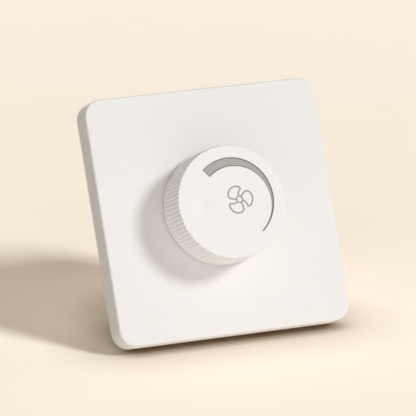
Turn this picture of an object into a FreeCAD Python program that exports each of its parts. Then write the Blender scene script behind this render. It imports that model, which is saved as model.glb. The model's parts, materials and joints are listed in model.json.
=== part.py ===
"""Rotary fan speed control for an 86 mm square wall box, modelled piece by piece.

The frame is the wall: +Z is up, the room is on the -Y side, and y = 0 is the wall's surface. The origin is
halfway between the two fixing slots. All lengths are millimetres.
"""
import FreeCAD, Part
import math
import os

V = FreeCAD.Vector

# Cover plate
plate_side = 86.0
plate_depth = 8.6
plate_corner = 6.0
plate_edge_round = 2.0
plate_front_wall = 2.0
plate_side_wall = 1.7
cover_hole_radius = 7.0
cover_collar_height = 1.4
cover_collar_wall = 1.4
hook_width = 8.0
hook_reach = 1.1
hook_height = 1.8
hook_spacing = 44.0
hook_from_wall = 2.4
hook_root = 0.3

# Base frame behind the cover
cover_clearance = 0.4
frame_web = 2.0
frame_rim_wall = 1.6
frame_headroom = 1.0
window_clearance = 0.3
fixing_pitch = 60.3
fixing_slot_width = 4.5
fixing_slot_length = 6.5
fixing_pad_margin = 2.4
fixing_pad_height = 1.2
frame_rib_wall = 1.2
frame_rib_height = 2.2
frame_boss_wall = 1.9
smallest_corner = 0.5

# Rear housing
housing_wall = 1.6
housing_back_wall = 1.8
housing_corner = 3.0
housing_back_bevel = 1.0
rear_space = 11.6
ear_thickness = 2.4
ear_radius = 3.6
ear_overhang = 3.3
ear_spacing = 28.0
vent_count = 6
vent_width = 1.6
vent_pitch = 3.6
vent_length = 14.0

# Self-tapping screws
tapping_radius = 1.3
tapping_head_radius = 2.5
tapping_head_height = 1.6
tapping_length = 6.0
tapping_hole_clearance = 0.05
tapping_hole_spare = 0.4

# Circuit board
board_thickness = 1.6
board_gap = 0.8
board_side_gap = 0.8
board_end_gap = 1.1
board_corner = 1.0
pin_hole_gap = 0.2
lead_hole_gap = 0.15
post_radius = 3.0
post_inset = 3.6
board_screw_bite = 5.0

# Potentiometer with its rear switch
knob_centre_z = 1.0
pot_radius = 8.8
pot_plate = 1.2
pot_bush_radius = 3.5
pot_bush_length = 6.4
bush_gap = 0.1
pot_can_depth = 5.0
pot_can_wall = 0.5
pot_fit = 0.03
key_width = 2.4
key_height = 1.0
key_offset = 7.0
key_gap = 0.1
key_recess = 0.6
wafer_thickness = 1.4
wafer_lug_width = 15.0
wafer_lug_reach = 13.5
wafer_hole_gap = 0.2
pin_pitch = 5.0
pin_width = 0.8
pin_thickness = 0.5
pin_from_edge = 1.4
pin_tail = 0.8
pin_head = 0.3
crimp_angles = (0.0, 60.0, 120.0, 180.0)
crimp_width = 2.6
crimp_thickness = 0.5
crimp_gap = 0.05
crimp_front = 0.1
crimp_root = 1.0
rotor_room = 1.5
rotor_thickness = 3.0
rotor_lug_reach = 1.1
rotor_lug_angle = 28.0
wiper_thickness = 0.3
wiper_gap = 0.05
wiper_hole_gap = 0.5
wiper_ring = 1.2
wiper_finger_inset = 0.2
wiper_finger_angle = 12.0
wiper_finger_spread = 20.0
stop_gap = 0.3
turn_range = 280.0
stop_margin = 1.0
switch_radius = 9.2
switch_depth = 4.8
switch_wall = 0.9
switch_pin_spacing = 5.5
pin_fit = 0.05
cam_radius = 3.4
cam_arm_reach = 2.4
cam_thickness = 1.8
cam_gap = 0.5
cam_arm_angle = 30.0
tang_hole_radius = 2.7
blade_thickness = 0.4
blade_gap = 0.4
contact_gap = 0.8
nut_across = 10.0
nut_thickness = 2.0
washer_radius = 6.0
washer_thickness = 0.5
shaft_radius = 3.0
shaft_flat = 1.5
shaft_square = 3.6
shaft_tang = 2.4
shaft_chamfer = 0.4
shaft_spare = 0.3
shaft_flat_past_knob = 0.6
ring_radius = 4.7
ring_thickness = 0.6
ring_groove = 0.5
ring_fit = 0.02
ring_opening = 3.6

# Knob
knob_height = 13.6
knob_gap = 0.5
knob_base_radius = 20.2
knob_flange_height = 1.1
knob_rib_radius = 19.9
knob_top_radius = 19.6
knob_edge_round = 0.6
knob_flange_lap = 0.2
knob_top_wall = 2.3
knob_side_wall = 1.5
rib_count = 72
rib_depth = 0.45
rib_chords = 3
edge_steps = 2
hub_radius = 5.0
hub_web_count = 6
hub_web_wall = 1.2
hub_web_height = 6.0
web_sink = 0.5
bore_clearance = 0.05
bore_headroom = 0.6
clip_thickness = 0.3
clip_width = 3.8
clip_lip = 1.6
clip_gap = 0.05
clip_end_gap = 0.6
dimple_radius = 3.7
dimple_depth = 0.55
dimple_offset = -11.0
mark_depth = 0.25
arc_outer_radius = 15.25
arc_inner_radius = 13.35
arc_shift = 1.62
arc_tip_angle = -52.0
arc_sweep = 178.0
arc_tip_width = 0.3

# Parts on the board
heatsink_width = 30.0
heatsink_height = 15.4
heatsink_plate = 1.5
heatsink_fin = 7.5
heatsink_from_top = 0.6
triac_width = 10.0
triac_body_height = 9.2
triac_body_depth = 4.4
triac_tab_height = 6.2
triac_tab = 1.3
triac_lead_pitch = 2.54
triac_lead = 0.8
triac_lead_run = 2.6
heatsink_round = 0.9
tie_radius = 1.5
tie_head_radius = 2.7
tie_head_height = 1.8
tie_nut_across = 5.5
tie_nut_thickness = 2.4
tie_gap = 0.1
tie_thread_fit = 0.02
tie_spare = 0.8
tie_slot_width = 0.8
choke_radius = 6.6
choke_height = 9.6
choke_cheek = 1.2
choke_core_radius = 3.0
winding_inset = 0.9
winding_fit = 0.02
choke_lead_gap = 0.2
capacitor_width = 18.0
capacitor_height = 7.5
capacitor_depth = 10.5
capacitor_lead_inset = 1.5
capacitor_round = 0.6
resistor_radius = 1.3
resistor_length = 6.5
diode_radius = 1.0
diode_length = 3.9
diode_from_lane = 4.0
fuse_radius = 2.6
fuse_length = 20.0
fuse_cap_length = 5.0
fuse_cap_step = 0.25
fuse_from_pins = 2.05
lead_radius = 0.35
lead_sides = 8
nut_sides = 6
lead_bend_reach = 2.2
lead_lift = 0.4
lead_tail = 0.5
lead_knee = 0.1
lane_inset = 4.6
lane_gap = 0.9
part_gap = 3.0
row_gap = 2.6
terminal_width = 8.0
terminal_height = 8.0
terminal_depth = 9.0
terminal_spacing = 18.0
terminal_from_edge = 0.6
terminal_bore_radius = 1.75
terminal_bore_from_board = 4.2
terminal_tail = 0.5
clamp_screw_radius = 2.0
clamp_screw_sink = 0.2
clamp_slot_width = 0.9
clamp_slot_depth = 1.0
clamp_end_chamfer = 0.25
clamp_thread_fit = 0.05
clamp_tip_gap = 0.15
access_clearance = 1.4
wire_hole_clearance = 0.5

# Levels along Y, from the room to the back of the wall box
y_cover_front = -plate_depth
y_cover_inside = y_cover_front + plate_front_wall
y_rim_front = y_cover_inside + frame_headroom
y_web_front = -frame_web
y_wafer = pot_plate
y_can = y_wafer + wafer_thickness
y_wiper = y_can + wiper_gap
y_rotor = y_wiper + wiper_thickness
y_rotor_back = y_rotor + rotor_thickness
y_switch = y_can + pot_can_depth
y_cam = y_switch + cam_gap
y_cam_back = y_cam + cam_thickness
y_switch_back = y_switch + switch_depth
y_board = y_switch_back + board_gap
y_board_back = y_board + board_thickness
y_housing_inside = y_board_back + rear_space
y_housing_back = y_housing_inside + housing_back_wall
y_knob_base = y_cover_front - knob_gap
y_flange = y_knob_base - knob_flange_height
y_knob_face = y_cover_front - knob_height
y_shaft_end = y_knob_face + knob_top_wall + bore_headroom

# Places across the wall
frame_side = plate_side - 2 * plate_side_wall - 2 * cover_clearance
frame_corner = max(plate_corner - plate_side_wall - cover_clearance, smallest_corner)
cover_inner_side = plate_side - 2 * plate_side_wall
hook_y = -hook_from_wall
pin_z = knob_centre_z - wafer_lug_reach + pin_from_edge
fuse_z = pin_z - pin_thickness / 2 - fuse_from_pins - fuse_radius
terminal_z = fuse_z - 2 * lead_radius - terminal_height / 2
lane_x = choke_radius + (part_gap + capacitor_width) / 2 + lane_gap
board_width = 2 * (lane_x + lane_inset)
board_height = 2 * (terminal_height / 2 + terminal_from_edge - terminal_z)
housing_width = board_width + 2 * (board_side_gap + housing_wall)
housing_height = board_height + 2 * (board_end_gap + housing_wall)
ear_z = housing_height / 2 + ear_overhang
post_x = board_width / 2 - post_inset
post_z = board_height / 2 - post_inset
posts = ((-post_x, post_z), (post_x, -post_z))
ears = [(side_x * ear_spacing / 2, side_z * ear_z) for side_x in (-1, 1) for side_z in (-1, 1)]
hooks = [(side_x * hook_spacing / 2, side_z) for side_x in (-1, 1) for side_z in (-1, 1)]
fixings = (-fixing_pitch / 2, fixing_pitch / 2)
pins_x = (-pin_pitch, 0.0, pin_pitch)
rotor_rest_angle = -90 - (360 - turn_range) / 2
rotor_radius = pot_radius - pot_can_wall - rotor_room
switch_pins_x = (-switch_pin_spacing / 2, switch_pin_spacing / 2)
switch_pin_z = knob_centre_z + cam_radius + cam_arm_reach + blade_gap + blade_thickness + pin_thickness / 2
terminals_x = (-terminal_spacing / 2, terminal_spacing / 2)
terminal_bore_y = y_board_back + terminal_bore_from_board
heatsink_z = board_height / 2 - heatsink_from_top - heatsink_height / 2
triac_top_z = heatsink_z - heatsink_height / 2 + triac_body_height
tie_z = triac_top_z + triac_tab_height / 2
triac_leads_x = (-triac_lead_pitch, 0.0, triac_lead_pitch)
triac_lead_z = heatsink_z - heatsink_height / 2 - triac_lead_run
rear_row_z = terminal_z + terminal_height / 2 + row_gap + 2 * lead_radius + choke_radius
choke_x = -(lane_x - choke_radius - 2 * lead_radius)
capacitor_x = choke_x + choke_radius + part_gap + capacitor_width / 2
capacitor_leads_x = [capacitor_x + side * (capacitor_width / 2 - capacitor_lead_inset) for side in (-1, 1)]
choke_leads_z = [rear_row_z + side * (choke_radius + lead_radius + choke_lead_gap) for side in (-1, 1)]
diode_z = (fuse_z + rear_row_z - capacitor_height / 2) / 2 + lead_radius
terminal_tails = (-terminal_width / 4, terminal_width / 4)


def cylinder(radius, y0, y1, x=0.0, z=0.0):
    return Part.makeCylinder(radius, y1 - y0, V(x, y0, z), V(0, 1, 0))


def block(x0, x1, y0, y1, z0, z1):
    return Part.makeBox(x1 - x0, y1 - y0, z1 - z0, V(x0, y0, z0))


def tube(outer, inner, y0, y1, x=0.0, z=0.0):
    return cylinder(outer, y0, y1, x, z).cut(cylinder(inner, y0, y1, x, z))


def extrude(edges, y0, y1):
    """A solid from edges that lie in the XZ plane, between two levels."""
    face = Part.Face(Part.Wire(edges))
    face.translate(V(0, y0, 0))
    return face.extrude(V(0, y1 - y0, 0))


def rounded_plate(width, height, corner, y0, y1, x=0.0, z=0.0):
    """A plate parallel to the wall with four round corners."""
    solid = block(x - width / 2, x + width / 2, y0, y1, z - height / 2, z + height / 2)
    upright = [e for e in solid.Edges if abs(e.tangentAt(e.FirstParameter).y) > 0.9]
    return solid.makeFillet(corner, upright)


def oblong(width, length, y0, y1, x=0.0, z=0.0):
    """A slot or pad that is long in X with half-round ends."""
    r = width / 2
    reach = length / 2 - r
    middle = block(x - reach, x + reach, y0, y1, z - r, z + r)
    ends = [cylinder(r, y0, y1, x + side * reach, z) for side in (-1, 1)]
    return middle.fuse(ends).removeSplitter()


def revolve(profile, x=0.0, z=0.0):
    """A turned solid about a line along Y, from (radius, y) corners."""
    points = [V(radius, y, 0) for radius, y in profile]
    face = Part.Face(Part.makePolygon(points + points[:1]))
    solid = face.revolve(V(0, 0, 0), V(0, 1, 0), 360)
    solid.translate(V(x, 0, z))
    return solid


def bar(sides, across, y0, y1, x=0.0, z=0.0):
    """A regular bar along Y, as wide across its flats as given."""
    radius = across / 2 / math.cos(math.pi / sides)
    angles = [math.pi * (2 * i + 1) / sides for i in range(sides)]
    points = [V(x + radius * math.cos(a), 0, z + radius * math.sin(a)) for a in angles]
    return extrude(Part.makePolygon(points + points[:1]).Edges, y0, y1)


def sector(outer, inner, y0, y1, middle, width):
    """Part of a ring about the knob's axis. Its middle angle and width are degrees, from +X towards +Z."""
    ring = tube(outer, inner, y0, y1, 0, knob_centre_z)
    if width > 170:
        return ring.cut(sector(outer + 1, inner / 2, y0, y1, middle + 180, 360 - width))
    reach = 2 * outer
    half = math.radians(width / 2)
    mid = math.radians(middle)
    corner = [V(reach * math.cos(mid + s * half), 0, reach * math.sin(mid + s * half)) for s in (-1, 1)]
    points = [V(0, 0, 0), corner[0], corner[1], V(0, 0, 0)]
    wedge = extrude(Part.makePolygon(points).Edges, y0, y1)
    wedge.translate(V(0, 0, knob_centre_z))
    return ring.common(wedge)


def turn_about_knob(shape, angle):
    """A copy turned about the knob's axis, towards +Z from +X."""
    copy = shape.copy()
    copy.rotate(V(0, 0, knob_centre_z), V(0, -1, 0), angle)
    return copy


def tapping_screw(x, z, y_head, length):
    """A screw driven from the back: its head seats at y_head and its shank runs towards the room."""
    head = cylinder(tapping_head_radius, y_head, y_head + tapping_head_height, x, z)
    return head.fuse(cylinder(tapping_radius, y_head - length, y_head, x, z)).removeSplitter()


def cover_plate():
    """Hollow front plate with a soft edge, four snap hooks and a stiff ring round the shaft hole."""
    solid = rounded_plate(plate_side, plate_side, plate_corner, y_cover_front, 0)
    front = [e for e in solid.Edges if abs(e.CenterOfMass.y - y_cover_front) < 1e-6]
    solid = solid.makeFillet(plate_edge_round, front)
    inner_corner = max(plate_corner - plate_side_wall, smallest_corner)
    solid = solid.cut(rounded_plate(cover_inner_side, cover_inner_side, inner_corner, y_cover_inside, 1))
    y_collar = y_cover_inside + cover_collar_height
    collar = cylinder(cover_hole_radius + cover_collar_wall, y_cover_inside, y_collar, 0, knob_centre_z)
    hole = cylinder(cover_hole_radius, y_cover_front - 1, y_collar + 1, 0, knob_centre_z)
    solid = solid.fuse(collar).cut(hole)
    wall_z = cover_inner_side / 2
    profile = [(hook_y, wall_z + hook_root), (hook_y, wall_z),
               (hook_y - hook_height / 2, wall_z - hook_reach),
               (hook_y - hook_height, wall_z - hook_reach), (hook_y - hook_height, wall_z + hook_root)]
    for x, side in hooks:
        points = [V(x - hook_width / 2, y, side * z) for y, z in profile]
        hook = Part.Face(Part.makePolygon(points + points[:1])).extrude(V(hook_width, 0, 0))
        solid = solid.fuse(hook)
    return solid.removeSplitter()


def base_frame():
    """Moulded tray on the wall: web, rim with snap windows, slots, screw bosses and board posts."""
    solid = rounded_plate(frame_side, frame_side, frame_corner, y_rim_front, 0)
    hollow_side = frame_side - 2 * frame_rim_wall
    hollow_corner = max(frame_corner - frame_rim_wall, smallest_corner)
    solid = solid.cut(rounded_plate(hollow_side, hollow_side, hollow_corner, y_rim_front - 1, y_web_front))
    rib_front = y_web_front - frame_rib_height
    half = hollow_side / 2 + frame_rim_wall / 2
    boss_radius = tapping_radius + frame_boss_wall
    additions = []
    rib_half = frame_rib_wall / 2
    for place in (-ear_spacing / 2, ear_spacing / 2):
        low, high = place - rib_half, place + rib_half
        additions.append(block(low, high, rib_front, y_web_front, -half, half))
        additions.append(block(-half, half, rib_front, y_web_front, low, high))
    for x in fixings:
        additions.append(oblong(fixing_slot_width + 2 * fixing_pad_margin,
                                fixing_slot_length + 2 * fixing_pad_margin,
                                y_web_front - fixing_pad_height, y_web_front, x, 0))
    for x, z in ears:
        additions.append(cylinder(boss_radius, y_rim_front, y_web_front, x, z))
    for x, z in posts:
        additions.append(cylinder(post_radius, 0, y_board, x, z))
    solid = solid.fuse(additions)
    for x in fixings:
        solid = solid.cut(oblong(fixing_slot_width, fixing_slot_length, y_rim_front, 1, x, 0))
    pilot = tapping_radius + tapping_hole_clearance
    for x, z in ears:
        depth = tapping_length - ear_thickness + tapping_hole_spare
        solid = solid.cut(cylinder(pilot, -depth, 1, x, z))
    for x, z in posts:
        solid = solid.cut(cylinder(pilot, y_board - board_screw_bite - tapping_hole_spare, y_board + 1, x, z))
    window_half = hook_width / 2 + window_clearance
    window_front = hook_y - hook_height - window_clearance
    window_back = min(hook_y + window_clearance, y_web_front)
    for x, side in hooks:
        z0, z1 = sorted((side * (hollow_side / 2 - window_clearance), side * (frame_side / 2 + 1)))
        solid = solid.cut(block(x - window_half, x + window_half, window_front, window_back, z0, z1))
    solid = solid.cut(cylinder(pot_bush_radius + bush_gap, y_web_front - 1, 1, 0, knob_centre_z))
    solid = solid.cut(block(-key_width / 2 - key_gap, key_width / 2 + key_gap, y_web_front - 1, 1,
                            knob_centre_z + key_offset - key_height / 2 - key_gap,
                            knob_centre_z + key_offset + key_height / 2 + key_gap))
    return solid.removeSplitter()


def rear_housing():
    """Moulded box behind the frame, with screw ears, vents, screw access and wire entries."""
    solid = rounded_plate(housing_width, housing_height, housing_corner, 0, y_housing_back)
    back = [e for e in solid.Edges if abs(e.CenterOfMass.y - y_housing_back) < 1e-6]
    solid = solid.makeChamfer(housing_back_bevel, back)
    for x, z in ears:
        ear = cylinder(ear_radius, 0, ear_thickness, x, z)
        toward = -1 if z > 0 else 1
        z0, z1 = sorted((z, z + toward * ear_overhang + toward * housing_wall / 2))
        solid = solid.fuse([ear, block(x - ear_radius, x + ear_radius, 0, ear_thickness, z0, z1)])
    inner_corner = max(housing_corner - housing_wall, smallest_corner)
    solid = solid.cut(rounded_plate(housing_width - 2 * housing_wall, housing_height - 2 * housing_wall,
                                    inner_corner, -1, y_housing_inside))
    cuts = []
    for x, z in ears:
        cuts.append(cylinder(tapping_radius + 2 * tapping_hole_clearance, -1, ear_thickness + 1, x, z))
    for i in range(vent_count):
        x = (i - (vent_count - 1) / 2) * vent_pitch
        cuts.append(block(x - vent_width / 2, x + vent_width / 2, y_housing_inside - 1, y_housing_back + 1,
                          heatsink_z - vent_length / 2, heatsink_z + vent_length / 2))
    for x in terminals_x:
        cuts.append(cylinder(clamp_screw_radius + access_clearance, y_housing_inside - 1, y_housing_back + 1,
                             x, terminal_z))
        cuts.append(Part.makeCylinder(terminal_bore_radius + wire_hole_clearance, 4 * housing_wall,
                                      V(x, terminal_bore_y, -housing_height / 2 - 1), V(0, 0, 1)))
    return solid.cut(cuts).removeSplitter()


def housing_screws():
    return Part.makeCompound([tapping_screw(x, z, ear_thickness, tapping_length) for x, z in ears])


def board_screws():
    length = board_screw_bite + board_thickness
    return Part.makeCompound([tapping_screw(x, z, y_board_back, length) for x, z in posts])


def circuit_board():
    """Board with the holes of every part that it carries."""
    solid = rounded_plate(board_width, board_height, board_corner, y_board, y_board_back)
    half_x = pin_width / 2 + pin_hole_gap
    half_z = pin_thickness / 2 + pin_hole_gap
    slots = [(x, pin_z) for x in pins_x] + [(x, switch_pin_z) for x in switch_pins_x]
    slots += [(x + dx, terminal_z) for x in terminals_x for dx in terminal_tails]
    y0, y1 = y_board - 1, y_board_back + 1
    cuts = [block(x - half_x, x + half_x, y0, y1, z - half_z, z + half_z) for x, z in slots]
    leads = axial_holes() + [(x, rear_row_z) for x in capacitor_leads_x]
    leads += [(choke_x, z) for z in choke_leads_z]
    cuts += [bar(lead_sides, 2 * (lead_radius + lead_hole_gap), y0, y1, x, z) for x, z in leads]
    square = triac_lead / 2 + lead_hole_gap
    cuts += [block(x - square, x + square, y0, y1, triac_lead_z - square, triac_lead_z + square)
             for x in triac_leads_x]
    cuts += [cylinder(tapping_radius + 2 * tapping_hole_clearance, y0, y1, x, z) for x, z in posts]
    return solid.cut(cuts + [cylinder(tie_radius + tie_gap, y0, y1, 0, tie_z)])


def pot_bush():
    """Die-cast plate and threaded bush that carry the shaft, with the key that stops the body turning."""
    plate = cylinder(pot_radius, 0, pot_plate, 0, knob_centre_z)
    bush = cylinder(pot_bush_radius, -pot_bush_length, 0, 0, knob_centre_z)
    key = block(-key_width / 2, key_width / 2, y_web_front + key_recess, 0,
                knob_centre_z + key_offset - key_height / 2, knob_centre_z + key_offset + key_height / 2)
    bore = cylinder(shaft_radius + pot_fit, -pot_bush_length - 1, pot_plate + 1, 0, knob_centre_z)
    return plate.fuse([bush, key]).cut(bore)


def pot_wafer():
    """Laminate wafer under the wiper, with the lug that holds the three pins."""
    disc = cylinder(pot_radius, y_wafer, y_can, 0, knob_centre_z)
    lug = block(-wafer_lug_width / 2, wafer_lug_width / 2, y_wafer, y_can,
                knob_centre_z - wafer_lug_reach, knob_centre_z)
    hole = cylinder(shaft_radius + wafer_hole_gap, y_wafer - 1, y_can + 1, 0, knob_centre_z)
    solid = disc.fuse(lug).cut(hole)
    holes = [block(x - pin_width / 2, x + pin_width / 2, y_wafer - 1, y_can + 1,
                   pin_z - pin_thickness / 2, pin_z + pin_thickness / 2) for x in pins_x]
    return solid.cut(holes).removeSplitter()


def pot_pins():
    pins = [block(x - pin_width / 2, x + pin_width / 2, y_wafer - pin_head, y_board_back + pin_tail,
                  pin_z - pin_thickness / 2, pin_z + pin_thickness / 2) for x in pins_x]
    return Part.makeCompound(pins)


def pot_can():
    """Pressed cover of the potentiometer: crimp tabs hold the wafer, and an indent stops the rotor."""
    solid = tube(pot_radius, pot_radius - pot_can_wall, y_can, y_switch, 0, knob_centre_z)
    back = tube(pot_radius, tang_hole_radius, y_switch - pot_can_wall, y_switch, 0, knob_centre_z)
    solid = solid.fuse(back)
    stop_angle = 360.0 - turn_range - rotor_lug_angle - 2 * stop_margin
    solid = solid.fuse(sector(pot_radius - pot_can_wall / 2, rotor_radius + stop_gap, y_can, y_rotor_back,
                              -90, stop_angle))
    inside = pot_radius + crimp_gap
    outside = inside + crimp_thickness
    y_root = y_can + crimp_gap
    z0 = knob_centre_z - crimp_width / 2
    z1 = knob_centre_z + crimp_width / 2
    tab = block(inside, outside, crimp_front, y_root + crimp_root, z0, z1)
    root = block(pot_radius - pot_can_wall, outside, y_root, y_root + crimp_root, z0, z1)
    crimp = tab.fuse(root)
    for angle in crimp_angles:
        solid = solid.fuse(turn_about_knob(crimp, angle))
    return solid.removeSplitter()


def pot_rotor():
    """Moulded rotor on the shaft's square, with the lug that meets the stop at each end of the turn."""
    disc = cylinder(rotor_radius, y_rotor, y_rotor_back, 0, knob_centre_z)
    lug = sector(rotor_radius + rotor_lug_reach, rotor_radius - 1, y_rotor, y_rotor_back, rotor_rest_angle,
                 rotor_lug_angle)
    half = shaft_square / 2 + bore_clearance
    hole = block(-half, half, y_rotor - 1, y_rotor_back + 1, knob_centre_z - half, knob_centre_z + half)
    return disc.fuse(lug).cut(hole).removeSplitter()


def pot_wiper():
    """Sprung contact plate on the rotor's front: a ring with two fingers over the track."""
    inner = shaft_radius + wiper_hole_gap
    ring = tube(inner + wiper_ring, inner, y_wiper, y_rotor, 0, knob_centre_z)
    fingers = [sector(rotor_radius - wiper_finger_inset, inner + wiper_ring / 2, y_wiper, y_rotor,
                      90 + side * wiper_finger_spread / 2, wiper_finger_angle) for side in (-1, 1)]
    return ring.fuse(fingers).removeSplitter()


def switch_body():
    """Moulded cup on the back of the can, with two holes for its pins."""
    solid = cylinder(switch_radius, y_switch, y_switch_back, 0, knob_centre_z)
    solid = solid.cut(cylinder(switch_radius - switch_wall, y_switch - 1, y_switch_back - switch_wall,
                               0, knob_centre_z))
    half_x = pin_width / 2 + pin_fit
    half_z = pin_thickness / 2 + pin_fit
    holes = [block(x - half_x, x + half_x, y_switch, y_switch_back + 1,
                   switch_pin_z - half_z, switch_pin_z + half_z)
             for x in switch_pins_x]
    return solid.cut(holes)


def switch_blades():
    """Two contact springs that the cam closes, each with its pin through the board."""
    z_face = switch_pin_z - pin_thickness / 2
    blades = []
    for x in switch_pins_x:
        x0, x1 = sorted((x + math.copysign(pin_width / 2, x), math.copysign(contact_gap / 2, x)))
        strip = block(x0, x1, y_cam, y_cam_back, z_face - blade_thickness, z_face)
        pin = block(x - pin_width / 2, x + pin_width / 2, y_cam, y_board_back + pin_tail,
                    z_face, z_face + pin_thickness)
        blades.append(strip.fuse(pin).removeSplitter())
    return Part.makeCompound(blades)


def switch_cam():
    """Cam on the shaft's tang, with the arm that works the switch at the end of the turn."""
    disc = cylinder(cam_radius, y_cam, y_cam_back, 0, knob_centre_z)
    arm = sector(cam_radius + cam_arm_reach, cam_radius - 1, y_cam, y_cam_back,
                 rotor_rest_angle, cam_arm_angle)
    half = shaft_tang / 2 + bore_clearance
    hole = block(-half, half, y_cam - 1, y_cam_back + 1, knob_centre_z - half, knob_centre_z + half)
    return disc.fuse(arm).cut(hole).removeSplitter()


def pot_shaft():
    """Flatted shaft: groove for the ring, square for the rotor and tang for the switch cam."""
    solid = cylinder(shaft_radius, y_shaft_end, y_rotor, 0, knob_centre_z)
    end = [e for e in solid.Edges if abs(e.CenterOfMass.y - y_shaft_end) < 1e-6]
    solid = solid.makeChamfer(shaft_chamfer, end)
    y_flat_end = y_knob_base + shaft_flat_past_knob
    solid = solid.cut(block(-shaft_radius, shaft_radius, y_shaft_end - 1, y_flat_end,
                            knob_centre_z - 2 * shaft_radius, knob_centre_z - shaft_flat))
    groove_y = -pot_bush_length - ring_thickness
    solid = solid.cut(tube(shaft_radius + 1, shaft_radius - ring_groove, groove_y, -pot_bush_length,
                           0, knob_centre_z))
    half = shaft_square / 2
    square = block(-half, half, y_rotor, y_rotor_back + shaft_spare,
                   knob_centre_z - half, knob_centre_z + half)
    half = shaft_tang / 2
    tang = block(-half, half, y_rotor, y_cam_back + shaft_spare, knob_centre_z - half, knob_centre_z + half)
    return solid.fuse([square, tang]).removeSplitter()


def shaft_ring():
    """Open spring ring in the shaft's groove, in front of the bush."""
    y1 = -pot_bush_length
    y0 = y1 - ring_thickness
    ring = tube(ring_radius, shaft_radius - ring_groove + ring_fit, y0 + ring_fit, y1 - ring_fit,
                0, knob_centre_z)
    opening = block(-ring_opening / 2, ring_opening / 2, y0 - 1, y1 + 1,
                    knob_centre_z, knob_centre_z + 2 * ring_radius)
    return ring.cut(opening)


def pot_washer():
    y1 = y_web_front
    return tube(washer_radius, pot_bush_radius + bush_gap, y1 - washer_thickness, y1, 0, knob_centre_z)


def pot_nut():
    y1 = y_web_front - washer_thickness
    nut = bar(nut_sides, nut_across, y1 - nut_thickness, y1, 0, knob_centre_z)
    return nut.cut(cylinder(pot_bush_radius + pot_fit, y1 - nut_thickness - 1, y1 + 1, 0, knob_centre_z))


def ribbed_wire(radius, y):
    """Closed outline of the knob's ribs, each of a few chords. Outlines of all sizes have one shape."""
    depth = rib_depth * radius / knob_rib_radius
    step = 2 * math.pi / rib_count
    half_chord = radius * math.sin(step / 2)
    points = []
    for i in range(rib_count):
        for j in range(rib_chords):
            across = 2 * j / rib_chords - 1
            r = radius - depth * across * across
            angle = i * step + math.asin(across * half_chord / radius)
            points.append(V(r * math.cos(angle), y, knob_centre_z + r * math.sin(angle)))
    return Part.makePolygon(points + points[:1])


def arc_cut():
    """Tapered arc on the knob's face, between a circle about the axis and a smaller one moved to the tip."""
    tip = math.radians(arc_tip_angle)
    wide = math.radians(arc_tip_angle + arc_sweep)
    middle = (tip + wide) / 2
    centre = V(arc_shift * math.cos(tip), 0, arc_shift * math.sin(tip))

    def on_outer(angle):
        return V(arc_outer_radius * math.cos(angle), 0, arc_outer_radius * math.sin(angle))

    def on_inner(angle):
        """The inner circle's point in the direction angle from the knob's axis."""
        along = centre.x * math.cos(angle) + centre.z * math.sin(angle)
        across = arc_shift * arc_shift - along * along
        radius = along + math.sqrt(arc_inner_radius ** 2 - across)
        radius = min(radius, arc_outer_radius - arc_tip_width)
        return V(radius * math.cos(angle), 0, radius * math.sin(angle))

    edges = [Part.Arc(on_outer(tip), on_outer(middle), on_outer(wide)).toShape(),
             Part.LineSegment(on_outer(wide), on_inner(wide)).toShape(),
             Part.Arc(on_inner(wide), on_inner(middle), on_inner(tip)).toShape(),
             Part.LineSegment(on_inner(tip), on_outer(tip)).toShape()]
    solid = extrude(edges, y_knob_face - 1, y_knob_face + mark_depth)
    solid.translate(V(0, 0, knob_centre_z))
    return solid


def ribbed_drum():
    """Knob's outside above its flange: ribs with a slight draft, turned in at the soft front edge."""
    levels = [(knob_rib_radius, y_flange + knob_flange_lap)]
    for i in range(edge_steps + 1):
        turn = math.pi / 2 * i / edge_steps
        levels.append((knob_top_radius - knob_edge_round * (1 - math.cos(turn)),
                       y_knob_face + knob_edge_round * (1 - math.sin(turn))))
    return Part.makeLoft([ribbed_wire(*level) for level in levels], True, True)


def knob():
    """Ribbed cup with a flatted hub, a finger dimple and the recessed marks on its face."""
    z = knob_centre_z
    flange = cylinder(knob_base_radius, y_flange, y_knob_base, 0, z)
    solid = ribbed_drum().fuse(flange)
    y_ceiling = y_knob_face + knob_top_wall
    inside = knob_top_radius - rib_depth - knob_side_wall
    cavity = cylinder(inside, y_ceiling, y_knob_base + 1, 0, z)
    hub = cylinder(hub_radius, y_ceiling, y_knob_base, 0, z)
    web = block(hub_radius - web_sink, inside + web_sink, y_ceiling, y_ceiling + hub_web_height,
                z - hub_web_wall / 2, z + hub_web_wall / 2)
    webs = [turn_about_knob(web, 360.0 * i / hub_web_count) for i in range(hub_web_count)]
    solid = solid.cut(cavity).fuse([hub] + webs)
    bore = cylinder(shaft_radius + bore_clearance, y_ceiling, y_knob_base + 1, 0, z)
    flat_z = z - shaft_flat - clip_gap - clip_thickness - clip_gap
    keep = block(-hub_radius, hub_radius, y_ceiling - 1, y_knob_base + 2, z - 2 * hub_radius, flat_z)
    solid = solid.cut(bore.cut(keep))
    sphere_radius = (dimple_radius ** 2 + dimple_depth ** 2) / (2 * dimple_depth)
    dimple = Part.makeSphere(sphere_radius, V(dimple_offset, y_knob_face + dimple_depth - sphere_radius, z))
    return solid.cut([dimple, arc_cut()]).removeSplitter()


def knob_clip():
    """Leaf spring between the shaft's flat and the knob's hub, hooked over the hub's end."""
    z1 = knob_centre_z - shaft_flat - clip_gap
    z0 = z1 - clip_thickness
    y_lip = y_knob_base + clip_gap
    leaf = block(-clip_width / 2, clip_width / 2, y_shaft_end + clip_end_gap, y_lip + clip_thickness, z0, z1)
    lip = block(-clip_width / 2, clip_width / 2, y_lip, y_lip + clip_thickness, z0 - clip_lip, z1)
    return leaf.fuse(lip).removeSplitter()


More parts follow.
